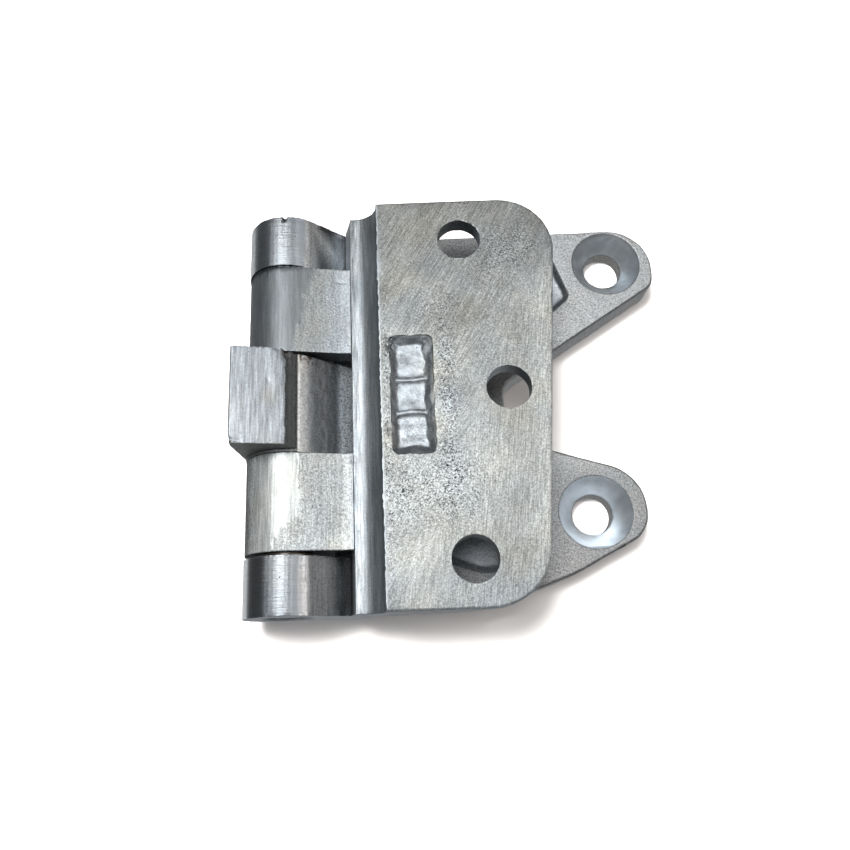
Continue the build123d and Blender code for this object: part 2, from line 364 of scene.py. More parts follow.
def worked_casting(name, cool, warm, scratch_turns):
    """Zinc plated casting whose layers say where it is ground, turned, brushed or left as cast."""
    m = Metal(name)
    ground, turned, brushed, cast = (m.layer(k) for k in ("ground", "turned", "brushed", "cast"))
    x, y, _ = m.place()

    # long fine scratches in two directions, one for each side of the face
    left, right = (
        m.noise(SCRATCH_GRID, turn=turn, shift=shift, detail=3, rough=0.7, bend=0.25)
        for turn, shift in zip(scratch_turns, (0.0, 31.0))
    )
    slanted = m.add(m.mul(x, 0.8), m.mul(y, -0.35))
    side = m.span(m.add(slanted, m.mul(m.noise(9.0), 12.0)), 38.0, 52.0)
    scratches = m.add(m.mul(left, m.rest(side)), m.mul(right, side))
    coarse = m.noise((16.0, 1.1, 16.0), turn=scratch_turns[0] + 6, shift=7.0, detail=2)

    # crystal speckle of the zinc, in patches
    speckle = m.noise(0.42, shift=3.0, detail=2, rough=0.7, bend=0.5)
    patch = m.layer("speckle")
    grain = m.noise(0.5, shift=11.0, detail=3, rough=0.75)
    fine = m.noise(0.36, shift=19.0, detail=2, rough=0.7)
    lumps = m.noise(3.2, shift=17.0, detail=2)

    # lathe and brush marks, and pits in some places
    lathe = m.noise((7.0, 0.3, 7.0), shift=2.0, detail=3, rough=0.7, bend=0.2)
    comb = m.noise((0.45, 9.0, 0.45), shift=9.0, detail=3, rough=0.7, bend=0.15)
    comb_wide = m.noise((1.3, 24.0, 1.3), shift=21.0, detail=2)
    pits = m.span(m.cells(1.6, shift=4.0), 0.05, 0.16)
    pit_here = m.span(m.noise(4.5, shift=14.0, detail=1), 0.5, 0.62)
    pit = m.add(m.mul(m.math("SUBTRACT", pits, 1.0), pit_here), 1.0)   # 0 in a pit

    def vary(tone, amount, value, strength):
        """tone times 1 +- half of strength by value's contrast, where amount says."""
        change = m.mul(m.swing(m.span(value, 0.3, 0.7)), strength)
        return m.mul(tone, m.add(m.mul(change, amount), 1.0))

    tone = m.mul(m.layer("tone"), m.add(m.mul(m.swing(lumps), 0.14), 1.0))
    tone = vary(tone, m.mul(ground, m.rest(m.mul(patch, 0.7))), scratches, 0.75)
    dark_specks = m.mul(m.span(speckle, 0.48, 0.42), m.mul(patch, 0.95))
    light_specks = m.mul(m.span(speckle, 0.53, 0.60), m.mul(patch, 0.5))
    tone = m.mul(tone, m.add(m.rest(dark_specks), light_specks))
    grained = m.math("ADD", cast, m.mul(brushed, 0.5), clamp=True)
    for amount, value, strength in (
        (ground, fine, 0.7), (ground, coarse, 0.18), (turned, lathe, 0.16),
        (brushed, comb, 0.65), (brushed, comb_wide, 0.3), (grained, grain, 0.62),
    ):
        tone = vary(tone, amount, value, strength)
    tone = m.mul(tone, m.span(pit, 0.0, 1.0, 0.55, 1.0))
    tone = m.mul(tone, m.add(m.mul(m.layer("edge"), 0.12), 1.0))
    # painted shade: concave corners and creases are darkened by up to 55%
    tone = m.mul(tone, m.rest(m.mul(m.layer("crease_shade"), 0.55)))

    stain = m.span(m.noise(13.0, shift=41.0, detail=3), 0.42, 0.66)
    tint = m.math("ADD", m.layer("warm"), m.mul(stain, 0.22), clamp=True)
    base = m.colour(tint, cool, warm)
    base = m.colour(m.layer("rust"), base, RUST)
    base = m.times(base, tone)

    roughness = m.add(m.layer("matt"), m.mul(m.swing(lumps), 0.12))
    for amount, value, strength in (
        (ground, scratches, 0.25), (cast, grain, 0.2), (m.add(turned, brushed), comb_wide, 0.2),
    ):
        roughness = m.add(roughness, m.mul(m.mul(amount, m.swing(value)), strength))

    normal = None
    for height, depth in (
        (m.mul(m.add(scratches, m.mul(coarse, 0.6)), ground), 0.028),
        (m.mul(speckle, patch), 0.05),
        (m.mul(grain, cast), 0.11),
        (m.mul(lathe, turned), 0.08),
        (m.mul(comb, brushed), 0.035),
        (pit, 0.05),
    ):
        normal = m.relief(height, depth, normal)
    return m.finish(base, roughness, normal, PLATED)


def turned_metal(name, light, dark, roughness):
    """Plain lathe-turned metal about the pin axis, with handling marks."""
    m = Metal(name)
    rings = m.noise((40.0, 0.2, 40.0), detail=4, rough=0.7)
    clouds = m.noise(2.6, shift=8.0, detail=3)
    specks = m.noise(0.35, shift=3.0, detail=4, rough=0.7)
    mix = m.add(m.mul(rings, 0.5), m.mul(clouds, 0.5))
    base = m.colour(m.span(mix, 0.36, 0.64), dark, light)
    base = m.times(base, m.span(specks, 0.3, 0.7, 0.8, 1.12))
    rough = m.span(clouds, 0.3, 0.7, roughness - 0.08, roughness + 0.12)
    normal = m.relief(rings, 0.03)
    normal = m.relief(specks, 0.02, normal)
    return m.finish(base, rough, normal, BARE)


# ---------------------------------------------------------------- door leaf

PLATE_Z = 25.0           # the plate's ground face
PANEL_X = (26.8, 37.6)   # the recessed panel's outline
PANEL_Y = (-16.0, 14.7)
PANEL_DEPTH = 1.3
PANEL_FLOOR_Z = 23.7
WALL_WIDTHS = (1.7, 2.6, 2.4, 2.3)   # of the panel's walls at low x, high x, low y and high y
RIB_HEIGHT = 0.32
MOUND_HEIGHT = 0.18
RIM_X = (16.9, 19.0)     # the ground strip along the rim
COVE_X = (18.6, 24.6)    # the hollow between the rim and the plate
FLATS_Z = 18.2           # the knuckles' flat shoulders

# centre, radii and depth of the dents in the knuckles' shoulders and the rim
DOOR_DENTS = (
    ((14.3, 33.5, FLATS_Z), (1.0, 0.4, 3.0), 0.16),
    ((14.6, 20.4, FLATS_Z), (0.5, 0.4, 3.0), 0.07),
    ((17.4, -15.0, 18.4), (0.9, 1.1, 2.0), 0.20),
)

# centre, radii and strength of the patches of zinc crystals on the plate
CRYSTAL_PATCHES = (
    ((40.8, 0.0, PLATE_Z), (2.4, 19.0, 9.0), 0.9),
    ((40.0, -24.0, PLATE_Z), (9.0, 10.0, 9.0), 0.8),
    ((29.5, -26.0, PLATE_Z), (4.0, 11.0, 9.0), 0.55),
    ((54.5, 36.5, PLATE_Z), (7.0, 8.0, 9.0), 0.6),
    ((62.0, 40.0, PLATE_Z), (5.0, 7.0, 9.0), 0.45),
    ((36.0, 22.0, PLATE_Z), (7.0, 6.0, 9.0), 0.45),
    ((25.9, -10.0, PLATE_Z), (0.9, 46.0, 9.0), 0.8),
    ((50.0, 12.0, PLATE_Z), (12.0, 18.0, 9.0), 0.25),
)


def in_panel(p, margin):
    """1 inside the recessed panel's outline, drawn in by margin."""
    x = band(p[:, 0], PANEL_X[0] + margin, PANEL_X[1] - margin, 0.25)
    y = band(p[:, 1], PANEL_Y[0] + margin, PANEL_Y[1] - margin, 0.25)
    return x * y


def panel_floor(p):
    """How far down each point of the panel is, from 0 at its rim to 1 on its floor."""
    flat = p * [1, 1, 0]
    wobble = 0.18 * waves(flat, 4.0, 3) + 0.04 * waves(flat, 1.3, 9)
    walls = [
        (p[:, 0] - PANEL_X[0] + wobble) / WALL_WIDTHS[0],
        (PANEL_X[1] - p[:, 0] + 1.4 * wobble) / WALL_WIDTHS[1],
        (p[:, 1] - PANEL_Y[0] + wobble) / WALL_WIDTHS[2],
        (PANEL_Y[1] - p[:, 1] + wobble) / WALL_WIDTHS[3],
    ]
    return np.clip(np.minimum.reduce(walls), 0, 1)


def panel_lines(p):
    """Offsets in mm above the panel's two cross ribs and below its arched mound's edge."""
    x, y = p[:, 0], p[:, 1]
    bow, lean = np.cos((x - 32.0) * 0.45), 0.04 * (x - 32.0)
    upper_rib = y - 3.2 - lean + 0.30 * bow
    lower_rib = y + 5.7 - lean - 0.25 * bow
    arch = -1.9 - np.where(x > 30.8, 0.27, 0.34) * (x - 30.8) ** 2 - y
    return upper_rib, lower_rib, arch


def panel_relief(p):
    """Two thin cross ribs, a soft arched mound and low lumps on the panel's floor, in mm."""
    p = p * [1, 1, 0]
    y = p[:, 1]
    upper_rib, lower_rib, arch = panel_lines(p)
    relief = 0.02 * waves(p, 3.0, 2)
    for off in (upper_rib, lower_rib):
        relief += RIB_HEIGHT * ramp(off, -0.5, 0.05) * ramp(off, 1.3, 0.1)
    relief += MOUND_HEIGHT * ramp(arch, -1.8, 2.6) * ramp(lower_rib, -0.2, 0.6)
    relief -= 0.08 * bump_at(y, -8.8, 0.6)
    lower, upper = ramp(y, -9.4, -10.6), ramp(y, 5.0, 6.5)
    relief += lower * 0.03 * waves(p, (2.4, 2.0, 3.0), 10)
    relief += upper * 0.025 * waves(p, (2.6, 2.0, 3.0), 11)
    return relief


def panel_shade(p):
    """How much darker the panel's floor is: painted shade beside the ribs and along the mound, and
    darker smudges in some spots.
    """
    upper_rib, lower_rib, arch = panel_lines(p)
    shade = 0.3 * bump_at(upper_rib, 1.2, 0.5)
    shade += 0.3 * bump_at(arch, 0.8, 1.3) * ramp(lower_rib, 0.3, 0.8)
    for off in (upper_rib, lower_rib):
        shade += 0.7 * bump_at(off, -0.6, 0.42)
    shade += 0.4 * spot(p, (31.6, -12.0, PANEL_FLOOR_Z), (2.4, 0.9, 3.0))
    shade += 0.5 * spot(p, (30.4, 8.6, PANEL_FLOOR_Z), (2.2, 1.6, 3.0))
    shade += 0.3 * bump_at(p[:, 1], -8.6, 0.6)
    shade += 0.2 * ramp(waves(p * [1, 1, 0], 1.6, 12), 0.2, 1.2)
    return np.clip(shade, 0, 0.75)


def sculpt_door(p, n):
    """The door leaf's points with the panel's relief, dressed edges, chips and dents."""
    p = p.copy()
    x, _, z = p.T
    lift = np.zeros(len(p))
    plate = ramp(x, 24.6, 25.4)
    face = ramp(n[:, 2], 0.8, 0.95) * ramp(z, 24.5, 24.8)
    lift -= 0.04 * plate * face * (0.5 + 0.5 * waves(p, 9.0, 1))

    # the panel is sunk afresh as a height over its outline, with uneven walls and its relief
    pocket = (in_panel(p, -0.1) > 0.5) & (z > 23.3) & (z < 24.97) & (n[:, 2] > 0.2)
    depth = panel_floor(p)
    inner = PLATE_Z - PANEL_DEPTH * depth + panel_relief(p) * ramp(depth, 0.7, 1.0)
    p[:, 2] = np.where(pocket, np.minimum(inner, PLATE_Z - 0.04), p[:, 2])
    chip = spot(p, (27.0, 12.6, PLATE_Z), (0.9, 1.9, 1.5)) * (x < 28.6)
    lift -= chip * (0.35 + 0.25 * waves(p, 0.9, 4))
    lift -= 0.35 * spot(p, (26.4, -9.7, PLATE_Z), (0.6, 1.1, 1.0))

    # rim, cove and plate edge are cast and dressed by hand
    cove = band(x, 16.8, 25.0, 0.4) * ramp(z, 12.0, 14.0)
    lift += 0.02 * cove * waves(p, (3.0, 14.0, 3.0), 5)
    edge_wave = band(x, 23.6, 25.2, 0.4) * ramp(z, 22.5, 24.0)
    ragged = 0.09 * waves(p, (6.0, 2.2, 6.0), 6) + 0.05 * waves(p, (3.0, 0.8, 3.0), 13)
    p[:, 0] += ragged * edge_wave

    # knuckles: a slightly uneven round, with dents
    knuckle = ramp(x, 16.2, 14.0) * ramp(z, 14.0, 16.0)
    lift += 0.015 * knuckle * waves(p, (2.6, 12.0, 2.6), 7)
    for centre, radii, dent in DOOR_DENTS:
        lift -= dent * spot(p, centre, radii)
    under = ramp(n[:, 2], -0.6, -0.9)
    lift += 0.04 * under * waves(p, 4.0, 8)
    return p + n * lift[:, None]


def door_knuckle_tone(p, n, knuckle, upper, past_upper, past_lower):
    """What the door leaf's tone is multiplied by on and between its knuckles, with painted
    highlight and shade bands and painted shade in the gaps.
    """
    x, y, _ = p.T
    lower = 1 - upper
    # upper knuckle: smooth and dark, then lighter past an uneven line
    tone = 1 + knuckle * upper * (0.24 * past_upper + 0.24 * ramp(x, 8.0, 14.0) - 0.48)
    tone *= 1 - 0.25 * knuckle * spot(p, (15.4, 21.0, FLATS_Z), (1.0, 7.0, 4.0))
    # painted shade along the gaps to the frame leaf's outer knuckles
    seam = ramp(y, 36.65, 36.95) * ramp(x, 8.0, -1.0)
    seam += ramp(y, -36.8, -37.05) * ramp(x, -8.0, -2.0)
    tone *= 1 - 0.95 * knuckle * seam
    # painted shade on the knuckles' end faces in the gaps
    end_face = ramp(np.abs(n[:, 1]), 0.6, 0.9) * ramp(x, 17.0, 16.0)
    tone *= 1 - 0.9 * end_face * band(np.abs(y), 36.6, 37.5, 0.2)
    # lower knuckle: a painted highlight band on its flank and painted shade at its far edge, then
    # grey past its own line
    flank = 0.9 * ramp(x, -9.0, -7.0) - 0.62 * ramp(x, -5.5, -3.0)
    flank += 0.1 * ramp(x, -1.0, 1.0) - 0.5 * ramp(x, -8.2, -9.6)
    grey = 0.16 * ramp(x, 11.0, 14.0) + 0.15 * ramp(y, -31.0, -34.5) - 0.41
    tone *= 1 + knuckle * lower * (flank + grey * past_lower)
    return tone


def paint_door(p, n):
    """The door leaf's material layers, one number or array for each name."""
    x, y, z = p.T
    up = ramp(n[:, 2], 0.75, 0.93)
    top = ramp(z, 24.6, 24.9) * up * ramp(x, 24.6, 25.0)
    panel = in_panel(p, -0.1) * ramp(z, 24.98, 24.85)
    panel_wall = panel * ramp(panel_floor(p), 1.0, 0.8)
    cove = band(x, *COVE_X, 0.3) * ramp(n[:, 2], -0.2, 0.1) * ramp(z, 17.9, 18.3)
    ragged_x = x + 0.22 * waves(p, (4.0, 3.2, 4.0), 45)
    strip = band(ragged_x, *RIM_X, 0.35) * ramp(z, 17.4, 18.0) * ramp(n[:, 2], 0.3, 0.7)
    knuckle = ramp(x, 17.0, 16.0) * ramp(np.abs(n[:, 1]), 0.7, 0.4)
    side = ramp(np.abs(n[:, 2]), 0.6, 0.3) * ramp(x, 24.0, 24.6)
    under = ramp(n[:, 2], -0.3, -0.7)
    upper = ramp(y, 5.0, 10.0)
    # uneven lines on the two knuckles, past which they are left rough
    ragged = 0.5 * waves(p, 3.0, 26) + 0.25 * waves(p, 1.0, 27)
    past_upper = ramp(x - 3.2 - 0.2 * (y - 14.0) + 1.5 * ragged, -1.4, 1.4)
    line = 4.2 - 5.5 * ramp(y, -27.0, -34.5)
    past_lower = ramp(x - line + 1.4 * ragged, -0.5, 0.5)
    past = upper * past_upper + (1 - upper) * past_lower

    # the plate's ground face, with painted light and shade across it: darker towards its upper
    # left and its lower end, lighter on its right side below the top and in a patch lower down
    plate = 0.05 * waves(p, 14.0, 21) - 0.32
    plate -= 0.10 * ramp(y, 8.0, 26.0) * ramp(x, 60.0, 40.0) + 0.08 * ramp(y, -38.0, -46.0)
    plate += 0.28 * ramp(x, 56.0, 68.0) * ramp(y, 40.0, 28.0)
    plate += 0.08 * spot(p, (45.0, -18.0, PLATE_Z), (9.0, 12.0, 9.0))
    tone = 1 + top * plate
    tone = mixed(tone, panel, (0.98 + 0.08 * waves(p, 2.0, 22)) * (1 - panel_shade(p)))
    # painted shade on the panel's walls, deepest on its east and north walls
    shaded_wall_tone = 0.52 - 0.14 * ramp(x, 35.4, 36.4) - 0.12 * ramp(y, 11.5, 13.0)
    tone = mixed(tone, panel_wall, shaded_wall_tone)
    # painted shade in the cove between rim and plate, with a lighter streak in its middle and fine
    # streaks along it
    shaded_cove_tone = 0.64 + 0.12 * band(y, -14.0, 20.0, 6.0) + 0.08 * waves(p, (0.7, 16.0, 0.7), 23)
    tone = mixed(tone, cove, shaded_cove_tone)
    strip_tone = 0.53 - 0.04 * band(y, -12.0, 22.0, 4.0) + 0.08 * ramp(y, -20.0, -38.0)
    strip_tone += 0.16 * waves(p, (0.4, 7.0, 0.4), 24)
    tone = mixed(tone, strip, strip_tone)
    # painted shade: side faces and undersides are painted darker
    tone = mixed(tone, side, 0.8)
    tone = mixed(tone, under, 0.9)
    tone *= door_knuckle_tone(p, n, knuckle, upper, past_upper, past_lower)
    tone += 0.15 * spot(p, (14.8, -34.4, FLATS_Z), (2.0, 3.0, 3.0))
    tone -= 0.30 * spot(p, (-7.5, -29.0, 17.0), (1.6, 5.0, 4.0))
    # painted shade on the upper knuckle's end face above the frame leaf's middle knuckle
    inner_end = ramp(x, 19.5, 18.5) * ramp(-n[:, 1], 0.6, 0.9) * band(y, 12.8, 13.6, 0.2)
    tone *= 1 - 0.6 * inner_end

    # crystal speckle gathers beside and below the panel and near the upper hole
    speckle = sum(strength * spot(p, *place) for *place, strength in CRYSTAL_PATCHES)
    speckle *= 1.0 + 0.25 * waves(p, 3.5, 28)
    speckle = np.clip(speckle, 0, 1) * top * (1 - panel)
    for elsewhere in (
        0.3 * panel * (1 - panel_wall) * ramp(y, -5.0, -6.5),
        knuckle * past * (0.3 - 0.15 * upper),
        0.45 * knuckle * (1 - upper) * ramp(x, -5.5, -8.0),
    ):
        speckle = np.maximum(speckle, elsewhere)

    warm = top * (0.62 - 0.3 * speckle - 0.3 * ramp(y, -36.0, -48.0))
    warm += 0.35 * knuckle * upper * past * ramp(x, 14.0, 9.0) + 0.4 * knuckle * (1 - upper)
    warm += 0.1 * waves(p, 12.0, 25)
    brushed = knuckle * (0.8 - 0.35 * upper - 0.2 * past) + strip + cove * 0.5
    return {
        "ground": top * (1 - panel),
        "turned": 0.0,
        "brushed": np.clip(brushed, 0, 1),
        "cast": np.clip(1 - top - knuckle * (1 - past) - strip - cove * 0.8 - panel * 0.4, 0, 1),
        "speckle": speckle,
        "tone": tone,
        "warm": np.clip(warm, 0, 1),
        "rust": 0.0,
        "matt": 0.46 + 0.02 * top + 0.04 * knuckle - 0.08 * strip - 0.04 * cove,
    }


# ---------------------------------------------------------------- frame leaf

SCREWS = ((88.2, 43.0), (78.0, -28.1))   # the ears' screw holes
SCREW_R = 5.25
HEAD_R = 9.7             # countersink radius at the ears' face
FOOT_Z = 3.7             # where the countersinks end in the plain holes
BLOCK_Z = 25.7           # the stop block's top face near its inner edge

# centre, radii and depth of chips in the stop block's inner edge and top face
BLOCK_CHIPS = (
    ((1.6, 12.3, 25.0), (0.8, 2.4, 2.5), 0.9),
    ((-0.6, 12.2, 25.4), (0.7, 0.6, 0.9), 0.25),
    ((-2.5, 3.6, BLOCK_Z), (0.3, 0.7, 1.0), 0.10),
)
BLOCK_SCRATCH = ((-11.2, -11.2), (-8.6, -11.9))


def hollows(p, n):
    """1 on the floors and sides of the ears' shallow hollows, 0 elsewhere."""
    x, y, z = p.T
    inside = (x > 27.0) & (z > 5.5) & (z < 7.85) & (n[:, 2] > 0.15)
    for sx, sy in SCREWS:
        inside &= np.hypot(x - sx, y - sy) > HEAD_R + 0.6
    return inside.astype(float)


def sculpt_frame(p, n):
    """The frame leaf's points with cast faces, lathe rings, chips and a nick."""
    p = p.copy()
    x, y, z = p.T
    lift = np.zeros(len(p))
    ears = ramp(x, 22.0, 26.0)
    free = np.ones(len(p))
    for sx, sy in SCREWS:
        r = np.hypot(x - sx, y - sy)
        free *= ramp(r, HEAD_R + 0.2, HEAD_R + 1.2)
        rings = band(r, SCREW_R + 0.4, HEAD_R - 0.3, 0.3) * ramp(z, 3.4, 3.9)
        chatter = waves(np.stack([r, r, r], 1), 0.8, 37)
        lift += 0.004 * rings * (np.cos(2 * math.pi * r / 1.05) + chatter)
    flat_back = ramp(n[:, 2], -0.5, -0.9)
    lumps = 0.025 * waves(p, 2.5, 31) + 0.03 * waves(p, 8.0, 32)
    lift += ears * free * (1 - flat_back) * lumps

    # middle knuckle and stop block stay as they came from the mould
    middle = band(y, -12.7, 12.3, 0.3)
    rough_round = middle * band(x, 4.6, 20.0, 0.6) * ramp(z, 9.0, 11.0)
    lift += 0.03 * rough_round * waves(p, (1.6, 5.0, 1.6), 33)
    # a hollow root between the block and the round, and a rolled bright edge beside it
    lift -= 0.25 * middle * bump_at(x, 3.2, 0.6) * ramp(z, 19.0, 20.5) * ramp(z, 23.0, 22.0)
    block = middle * ramp(x, 2.1, 1.2) * ramp(z, 22.0, 23.5)
    lift -= 0.008 * block * waves(p, (0.8, 9.0, 4.0), 34)
    lip = middle * bump_at(x, 1.55, 0.7) * ramp(z, 23.8, 24.6)
    p[:, 0] += 0.10 * lip * waves(p, (9.0, 2.6, 9.0), 36)
    lift -= 0.55 * spot(p, (-11.5, -12.3, 27.3), (0.9, 1.6, 1.5))
    lift -= 0.18 * ridge(p, BLOCK_SCRATCH, 0.35) * block
    for centre, radii, chip in BLOCK_CHIPS:
        lift -= chip * spot(p, centre, radii)

    # a V nick in the upper knuckle's end, and ends that are sawn a little out of true
    nick = np.clip(1 - np.abs(x - 0.3 - 0.25 * (y - 52.0)) / 0.75, 0, 1)
    nick = nick * ramp(y, 49.9, 51.8)
    lift -= 0.9 * nick * ramp(z, 19.0, 20.6)
    end = ramp(np.abs(y), 50.5, 51.8)
    lift -= end * 0.08 * (0.5 + 0.5 * waves(p, 2.5, 35))
    return p + n * lift[:, None]


def outer_knuckle_light_bands(p, outer, upper):
    """What the frame leaf's tone is multiplied by on its two outer knuckles: painted reflection
    bands across their rounds and painted shade along their gaps.
    """
    x, y, _ = p.T
    lower = 1 - upper
    # painted reflection bands: a dark band left of the crown, a light band at the far left, a
    # darker crown and a light band right of it
    tone = 1 - outer * band(x, -7.8, -3.6, 0.9) * (0.55 + 0.14 * lower)
    tone *= 1 + outer * ramp(x, -7.7, -8.9) * (1.3 + 0.7 * lower) * ramp(x, -11.4, -9.8)
    crown = 0.44 - 0.28 * upper + 0.12 * upper * ramp(x, -0.8, 0.8)
    tone *= 1 - outer * band(x, -2.8, 2.6, 0.6) * crown
    tone *= 1 + outer * band(x, 3.0, 6.2, 0.4) * (0.56 * upper + 0.04)
    # painted shade along the gaps to the door leaf's knuckles
    seam = ramp(np.abs(y), 37.85, 37.6) * mixed(ramp(x, -6.0, -2.0), upper, ramp(x, 8.0, -1.0))
    tone *= 1 - 0.95 * outer * seam
    return tone


def paint_frame(p, n):
    """The frame leaf's material layers, one number or array for each name."""
    x, y, z = p.T
    up = ramp(n[:, 2], 0.75, 0.93)
    ear_top = up * band(z, 7.2, 8.3, 0.3) * ramp(x, 19.0, 21.0)
    sink = np.zeros(len(p))
    hole = np.zeros(len(p))
    for sx, sy in SCREWS:
        r = np.hypot(x - sx, y - sy)
        inside = ramp(z, FOOT_Z - 0.5, FOOT_Z) * ramp(z, 7.95, 7.7)
        sink = np.maximum(sink, band(r, SCREW_R + 0.15, HEAD_R - 0.1, 0.2) * inside)
        hole = np.maximum(hole, ramp(r, SCREW_R + 0.3, SCREW_R + 0.05) * ramp(z, 3.9, 3.5))
    hollow = up * band(z, 5.5, 7.3, 0.2) * ramp(x, 26.0, 29.0) * (1 - sink)
    sloping = ramp(n[:, 2], 0.93, 0.8) * ramp(n[:, 2], 0.4, 0.55)
    bevel = sloping * band(z, 6.3, 8.1, 0.1) * ramp(x, 60.0, 63.0) * (1 - sink)
    middle = band(y, -13.2, 12.8, 0.15)
    block_side = middle * ramp(x, 4.4, 3.6) * ramp(z, 13.0, 16.0)
    block_top = block_side * ramp(n[:, 2], 0.8, 0.95) * ramp(x, 2.0, 1.5) * ramp(z, 23.6, 24.4)
    end_face = ramp(np.abs(n[:, 1]), 0.6, 0.8)
    outer = ramp(np.abs(y), 37.0, 37.4) * ramp(x, 19.8, 18.8) * (1 - end_face)
    rough_round = middle * ramp(x, 3.6, 4.2) * ramp(x, 21.0, 19.0)
    side = ramp(np.abs(n[:, 2]), 0.6, 0.3) * ramp(x, 20.0, 22.0)
    under = ramp(n[:, 2], -0.3, -0.7)
    upper = ramp(y, 0.0, 10.0)
    flat = outer * mixed(ramp(x, 6.2, 6.5), upper, ramp(x, 5.2, 5.6))

    # ears and their countersinks, with painted shadow of the plate on the lower ear and on the
    # leaf under the plate
    tone = 1 + ear_top * (0.2 - 0.36 * ramp(y, -10.0, -20.0)) + hollow * 0.2
    # painted shade on the hollows' sloping edges outside the plate
    tone = mixed(tone, bevel, 0.6)
    tone = mixed(tone, sink, 1.3 + 0.7 * ramp(y, 0.0, -10.0) + 0.1 * waves(p, 3.0, 46))
    # painted shade on the screw holes' walls
    tone = mixed(tone, hole, 0.2)
    covered = up * ramp(x, 66.0, 58.0) * ramp(x, 20.0, 24.0)
    tone *= 1 - covered * (0.45 + 0.3 * spot(p, (52.0, -4.0, 8.0), (9.0, 9.0, 9.0)))
    tone = mixed(tone, side, 1.03)
    # stop block, the round beside it and the outer knuckles' flats; the block's side walls carry
    # painted shade
    tone = mixed(tone, block_side, 0.5 + 0.2 * ramp(x, 1.9, 2.3))
    tone = mixed(tone, block_top, 0.74 + 0.04 * waves(p, (0.5, 16.0, 4.0), 41))
    # painted shade in the root between the block and the round
    tone *= 1 - 0.55 * middle * bump_at(x, 3.5, 0.35) * ramp(z, 24.0, 23.0) * ramp(z, 16.0, 18.0)
    # painted highlights and shade across the middle knuckle's round: light at its left, dark in
    # its middle, light again at its right and on a line near the block
    round_light_and_shade = 0.5 + 0.78 * ramp(x, 8.0, 5.0) + 2.0 * ramp(x, 12.2, 14.3)
    round_light_and_shade += 0.5 * band(x, 3.7, 4.3, 0.2)
    tone = mixed(tone, rough_round, round_light_and_shade)
    upper_flat = 0.95 * band(x, 5.0, 8.6, 0.8) + 1.4 * bump_at(x, 13.9, 1.2) - 0.34
    lower_flat = -0.25 * band(x, 12.8, 14.3, 0.3)
    tone = mixed(tone, flat, 0.58 + mixed(lower_flat, upper, upper_flat))
    # painted shade on the undersides
    tone = mixed(tone, under, 0.9)
    tone *= outer_knuckle_light_bands(p, outer, upper)
    # painted shade on the knuckles' end faces in the gaps
    tone *= 1 - 0.9 * end_face * band(np.abs(y), 36.9, 37.8, 0.2)
    # a bright nick in a stain on the block's top
    tone += 0.35 * spot(p, (-2.4, 3.8, BLOCK_Z), (0.3, 0.5, 1.0))
    tone -= 0.12 * spot(p, (-2.2, -0.2, BLOCK_Z), (1.8, 2.4, 1.5))

    stain = ramp(waves(p, 1.1, 42), -0.1, 0.7)
    rust = ramp(y, 9.6, 11.8) * band(x, 1.2, 8.0, 0.8) * (1 - block_top)
    rust += spot(p, (14.4, 10.4, 17.5), (1.6, 1.2, 5.0))
    rust *= 0.8 * stain * middle
    tone *= 1 - 0.6 * np.clip(rust, 0, 1)
    rust += 0.12 * hole
    warm = 0.6 * rough_round * ramp(x, 8.0, 4.0) + 0.45 * block_side * (1 - block_top)
    warm += 0.35 * ear_top + 0.5 * side + 0.5 * outer * ramp(x, -7.8, -9.2)
    warm += 0.4 * flat * upper * ramp(x, 9.5, 7.0)
    warm += 0.6 * spot(p, (-2.2, -0.4, BLOCK_Z), (2.2, 2.6, 1.5))
    matt = 0.44 + 0.12 * ear_top + 0.10 * side - 0.08 * sink - 0.14 * outer * (1 - flat)
    matt += 0.06 * rough_round + 0.06 * block_side
    worked = np.clip(sink + outer + block_top, 0, 1)
    return {
        "ground": 0.0,
        "turned": np.clip(outer - flat, 0, 1),
        "brushed": np.clip(block_top + 0.5 * flat, 0, 1),
        "cast": np.clip(1 - worked + 0.6 * flat, 0, 1),
        "speckle": 0.35 * ear_top + 0.5 * rough_round * ramp(x, 12.0, 14.0),
        "tone": tone,
        "warm": np.clip(warm, 0, 1),
        "rust": np.clip(rust, 0, 1),
        "matt": matt,
    }


# ---------------------------------------------------------------- pin

PIN_STEPS = 96
# radius and drop below the pin's end, from its dimple to its staked ring
STAKED_END = (
    (0.0, 0.9), (0.6, 0.75), (1.3, 0.18), (1.7, 0.02), (2.4, 0.0),
    (3.5, 0.02), (3.8, 0.32), (4.1, 0.34), (4.4, 0.04), (5.0, 0.05),
)
# how far inside the pin's radius, and drop below its end, at its rounded corner
CORNER = ((0.35, 0.25), (0.08, 0.6), (0.0, 1.0), (0.0, 8.0))


